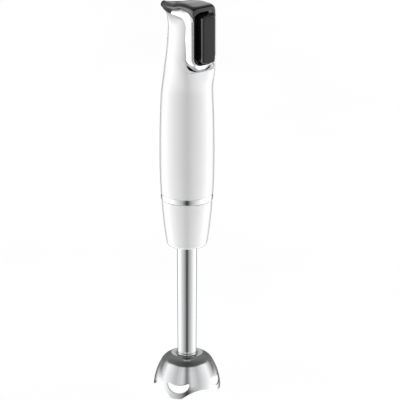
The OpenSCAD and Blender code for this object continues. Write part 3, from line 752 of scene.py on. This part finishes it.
def build_bell():
    """Pressed steel guard: columns from the rim up to the tube, left open at the slots."""
    turns = bell_turns(56)
    low_rows, high_rows, dome_rows = 7, 12, 16
    points, faces = [], []
    columns = []
    for turn in turns:
        low, high = slot_edges(turn)
        rim = rim_height(turn)
        column = [(skirt_radius(z), z) for z in spread(rim, low, low_rows)]
        column += [(skirt_radius(z), z) for z in spread(high, CREASE, high_rows)]
        column += arc(*DOME, 20.5, 78, dome_rows)[1:]
        column += [(12.4, BELL_HIGH), (TUBE_BORE + 0.6, BELL_HIGH)]
        a = math.radians(turn)
        columns.append(len(points))
        points += [(r * math.sin(a), -r * math.cos(a), z) for r, z in column]
        rows = len(column)
    for k, start in enumerate(columns):
        other = columns[(k + 1) % len(columns)]
        for i in range(rows - 1):
            if i != low_rows - 1:
                faces.append((start + i, other + i, other + i + 1, start + i + 1))
    bell = make_mesh("steel_bell", points, faces)
    mod = bell.modifiers.new("wall", "SOLIDIFY")
    mod.thickness = BELL_WALL * MM
    mod.offset = -1
    mod.use_even_offset = True
    apply_modifiers(bell)
    bevel(bell, 0.3, 3, angle=60, sharp=65)
    return finish_piece(bell, "polished_steel", "foot", "bell")


# ---------------------------------------------------------------- blade

def build_blade():
    """Four ground wings on a boss, pitched in turn up and down."""
    low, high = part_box("blade")
    reach = max(high.x, high.y) / MM
    wings = []
    outline = [(4, -4.2), (13, -4.7), (reach - 2, -2.6), (reach - 0.6, -0.4), (reach - 0.7, 1.4),
               (reach - 2.6, 3.9), (12, 3.5), (4, 3.3)]
    for k in range(4):
        rings = []
        for up, pinch in ((-0.7, 0.9), (-0.25, 0.0), (0.25, 0.0), (0.7, 0.9)):
            rings.append([(x, y * (1 - 0.16 * pinch) if x > 8 else y, up) for x, y in outline])
        wing = loft("wing", rings)
        tilt = Matrix.Rotation(math.radians(16 if k % 2 == 0 else -16), 4, "X")
        lift = Matrix.Translation((0, 0, 15 * MM))
        wing.data.transform(Matrix.Rotation(math.pi / 2 * k, 4, "Z") @ lift @ tilt)
        wings.append(wing)
    boss = lathe("boss", [(3.05, 13), (6.6, 13), (7, 13.4), (7, 16.7), (6.6, 17.15), (3.05, 17.15)], 64)
    join("blade_wings", wings + [boss], "polished_steel", "drive", "blade")
    hub = lathe("hub", [(3.05, 17.2), (4.9, 17.2), (5.2, 17.6), (5.2, 24.6), (4.4, 26), (3.05, 26)], 64)
    finish_piece(hub, "polished_steel", "drive", "blade_hub")
    nut = lathe("nut", [(0.01, 8.4), (3.2, 8.4), (4.2, 8.9), (4.8, 10), (4.8, 12.95), (3.05, 12.95),
                        (3.05, 10), (0.01, 10)], 64)
    return finish_piece(nut, "bright_steel", "drive", "blade_nut")


# ---------------------------------------------------------------- stage, light and camera

# light against the turn off the front, on the walls, on the shelf above them and on the ceiling
WALL_LIGHT = [(0, 0.045), (0.03, 0.08), (0.064, 0.2), (0.13, 0.42), (0.2, 0.58), (0.33, 0.85), (0.5, 1.3),
              (0.62, 1.5), (0.72, 1.1), (0.82, 0.25), (1, 0.08)]
SHELF_LIGHT = [(0, 0.15), (0.04, 0.45), (0.09, 0.85), (0.15, 0.75), (0.24, 0.6), (0.35, 0.85), (0.5, 1.2),
               (0.62, 0.6), (0.7, 0.2), (0.95, 0.15), (0.985, 0.5), (1, 0.58)]
CEILING_LIGHT = [(0, 0.06), (0.5, 0.12), (0.8, 0.2), (1, 0.2)]


def build_stage():
    """A pale floor, far enough down to clear the foot when it is drawn off."""
    far, down = 3000, -65
    floor = make_mesh("floor", [(-far, -far, down), (far, -far, down), (far, far, down), (-far, far, down)],
                      [(0, 1, 2, 3)])
    material, nodes, links, shader = new_material("pale_floor")
    tint = ramp(nodes, [(0.3, 0.96), (0.7, 1.0)])
    links.new(noise(nodes, links, 3, 4), tint.inputs["Fac"])
    links.new(tint.outputs["Color"], shader.inputs["Emission Color"])
    shader.inputs["Emission Strength"].default_value = 0.94
    shader.inputs["Base Color"].default_value = (0.2, 0.2, 0.2, 1)
    shader.inputs["Roughness"].default_value = 0.9
    shader.inputs["Specular IOR Level"].default_value = 0.1
    floor.data.materials.append(material)
    floor.visible_glossy = False
    floor.visible_diffuse = False
    floor.visible_shadow = False
    return floor


def math_node(nodes, links, operation, first, second=None):
    node = nodes.new("ShaderNodeMath")
    node.operation = operation
    for socket, value in zip(node.inputs, (first, second)):
        if isinstance(value, (int, float)):
            socket.default_value = value
        elif value is not None:
            links.new(value, socket)
    return node.outputs[0]


def blend(nodes, links, factor, low, high):
    node = nodes.new("ShaderNodeMix")
    node.data_type = "RGBA"
    links.new(factor, node.inputs["Factor"])
    links.new(low, node.inputs["A"])
    links.new(high, node.inputs["B"])
    return node.outputs["Result"]


def graded(nodes, links, source, stops):
    node = ramp(nodes, stops)
    links.new(source, node.inputs["Fac"])
    return node.outputs["Color"]


def build_light():
    """A soft studio surround: a dark strip in front, bright walls to the sides and a dark ceiling."""
    world = bpy.data.worlds.new("studio")
    bpy.context.scene.world = world
    world.use_nodes = True
    nodes, links = world.node_tree.nodes, world.node_tree.links
    place = nodes.new("ShaderNodeTexCoord")
    turn = nodes.new("ShaderNodeVectorRotate")
    turn.rotation_type = "Z_AXIS"
    turn.inputs["Angle"].default_value = -math.radians(VIEW_TURN)
    links.new(place.outputs["Generated"], turn.inputs["Vector"])
    split = nodes.new("ShaderNodeSeparateXYZ")
    links.new(turn.outputs["Vector"], split.inputs["Vector"])
    # turn off the front of the stage: 0 in front and 1 behind
    side = math_node(nodes, links, "ABSOLUTE", split.outputs["X"])
    depth = math_node(nodes, links, "MULTIPLY", split.outputs["Y"], -1.0)
    around = math_node(nodes, links, "DIVIDE", math_node(nodes, links, "ARCTAN2", side, depth), math.pi)
    # height: 0 straight down and 1 straight up
    height = math_node(nodes, links, "MULTIPLY_ADD", split.outputs["Z"], 0.5)
    height.node.inputs[2].default_value = 0.5
    walls = graded(nodes, links, around, WALL_LIGHT)
    shelf = graded(nodes, links, around, SHELF_LIGHT)
    ceiling = graded(nodes, links, around, CEILING_LIGHT)
    lit = blend(nodes, links, graded(nodes, links, height, [(0.44, 0.0), (0.53, 1.0)]), walls, shelf)
    # the ceiling comes lower to the sides
    drop = graded(nodes, links, around, [(0.4, 0.0), (0.6, 0.07)])
    raised = math_node(nodes, links, "ADD", height, drop)
    lit = blend(nodes, links, graded(nodes, links, raised, [(0.78, 0.0), (0.84, 1.0)]), lit, ceiling)
    links.new(lit, nodes["Background"].inputs["Color"])
    nodes["Background"].inputs["Strength"].default_value = 1.35


def build_camera():
    """A long lens, so the sides stay almost parallel."""
    data = bpy.data.cameras.new("camera")
    camera = bpy.data.objects.new("camera", data)
    bpy.context.scene.collection.objects.link(camera)
    bpy.context.scene.camera = camera
    turn, lift = math.radians(VIEW_TURN), math.radians(VIEW_LIFT)
    away = Vector((math.sin(turn) * math.cos(lift), -math.cos(turn) * math.cos(lift), math.sin(lift)))
    distance = 9.0
    frame_width = 0.4
    data.sensor_width = 36
    data.lens = data.sensor_width * distance / frame_width
    data.clip_end = 50
    target = Vector((0, 0, 0.2))
    camera.rotation_euler = (-away).to_track_quat("-Z", "Y").to_euler()
    camera.location = target + away * distance
    data.shift_x = 13 / 400      # 13 of the picture's 400 pixels
    return camera


build_camera()
build_stage()
build_light()
build_housing()
build_bezel()
build_cap()
build_panel()
build_trigger()
build_bush()
build_ring()
build_cone()
build_tube()
build_bell()
build_blade()

bpy.context.scene.view_settings.view_transform = "Standard"
